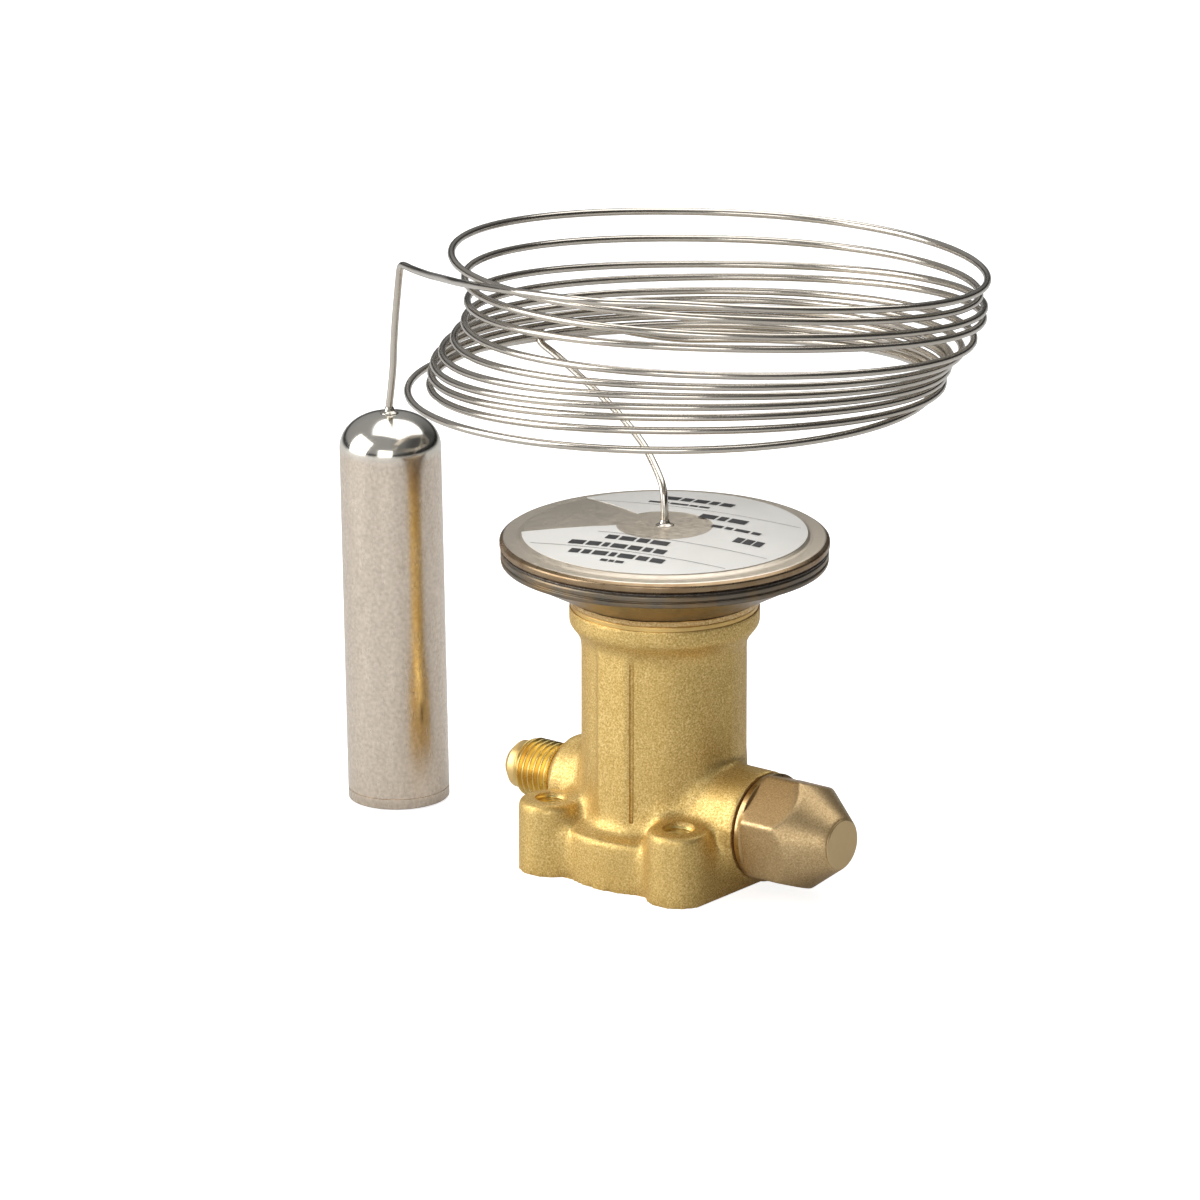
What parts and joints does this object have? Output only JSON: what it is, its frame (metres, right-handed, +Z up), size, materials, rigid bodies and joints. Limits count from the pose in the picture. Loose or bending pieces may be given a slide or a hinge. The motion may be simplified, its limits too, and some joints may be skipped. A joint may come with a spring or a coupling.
{
  "type": "thermostatic expansion valve",
  "caption": "Cast brass valve body with welded diaphragm head, capillary and sensing bulb; meters refrigerant to the superheat set at its capped side spindle.",
  "frame": {"origin": "on the column's axis in the plane of the base's underside, at the mouth of the orifice seat", "axes": "+Z up the column to the diaphragm head, +X along the setting spindle towards its cap, -X along the equaliser connection"},
  "size_m": [0.1321, 0.1039, 0.1218],
  "materials": {
    "cast_brass": "sand-cast satin",
    "bronze_cap": "forged satin, brownish",
    "shell_steel": "heat-tinted satin",
    "plate_steel": "satin",
    "label_film": "printed film",
    "capillary_steel": "drawn bright",
    "coil_fill": "drawn bright",
    "bulb_nickel": "nickel, satin sides and polished dome",
    "solder": "bright solder",
    "braze": "brown braze",
    "turned_steel": "turned",
    "spring_steel": "drawn",
    "turned_brass": "turned",
    "seal_rubber": "matte",
    "copper_seal": "dull copper"
  },
  "bodies": {
    "housing": {"valve_body": "cast_brass", "lower_shell": "shell_steel", "upper_shell": "plate_steel", "diaphragm": "spring_steel", "rim_weld": "shell_steel", "braze_fillet": "braze", "head_label": "label_film", "head_ferrule": "solder", "capillary_head_lead": "capillary_steel", "capillary_coil": "coil_fill", "capillary_bulb_lead": "capillary_steel", "bulb_ferrule": "solder", "sensing_bulb": "bulb_nickel", "rod_guide_bush": "turned_steel", "rod_seal": "seal_rubber", "retaining_clip": "spring_steel", "thrust_washer": "turned_steel", "gland_packing": "seal_rubber", "gland_nut": "turned_brass"},
    "rod": {"push_rod": "turned_steel", "thrust_pad": "turned_brass"},
    "crown": {"crown_gear": "turned_brass"},
    "seat": {"spring_seat": "turned_brass", "superheat_spring": "spring_steel"},
    "spindle": {"setting_spindle": "turned_steel"},
    "gasket": {"cap_gasket": "copper_seal"},
    "cap": {"seal_cap": "bronze_cap"}
  },
  "joints": [
    {"name": "rod_stroke", "type": "slide", "parent": "housing", "child": "rod", "axis": [0, 0, -1], "range_m": [0, 0.0008], "stiffness_N_per_m": 5000, "springref_m": -0.0005},
    {"name": "spindle_turn", "type": "hinge", "parent": "housing", "child": "spindle", "pos_m": [0.015, 0, 0.012], "axis": [1, 0, 0], "range_deg": [-1083, 1083]},
    {"name": "crown_turn", "type": "hinge", "parent": "housing", "child": "crown", "pos_m": [0, 0, 0.016], "axis": [0, 0, 1], "range_deg": [-361, 361]},
    {"name": "seat_lift", "type": "slide", "parent": "housing", "child": "seat", "axis": [0, 0, 1], "range_m": [-0.002, 0.002], "deforming": ["superheat_spring"]},
    {"name": "cap_travel", "type": "slide", "parent": "housing", "child": "gasket", "axis": [1, 0, 0], "range_m": [0, 0.00751]},
    {"name": "cap_turn", "type": "hinge", "parent": "gasket", "child": "cap", "pos_m": [0.03, 0, 0.012], "axis": [1, 0, 0], "range_deg": [0, 1800]}
  ],
  "couplings": [
    {"joint": "crown_turn", "follows": "seat_lift", "rad_per_m": 3141.6},
    {"joint": "spindle_turn", "follows": "seat_lift", "rad_per_m": -9424.8},
    {"joint": "cap_travel", "follows": "cap_turn", "m_per_rad": 0.00023873}
  ]
}
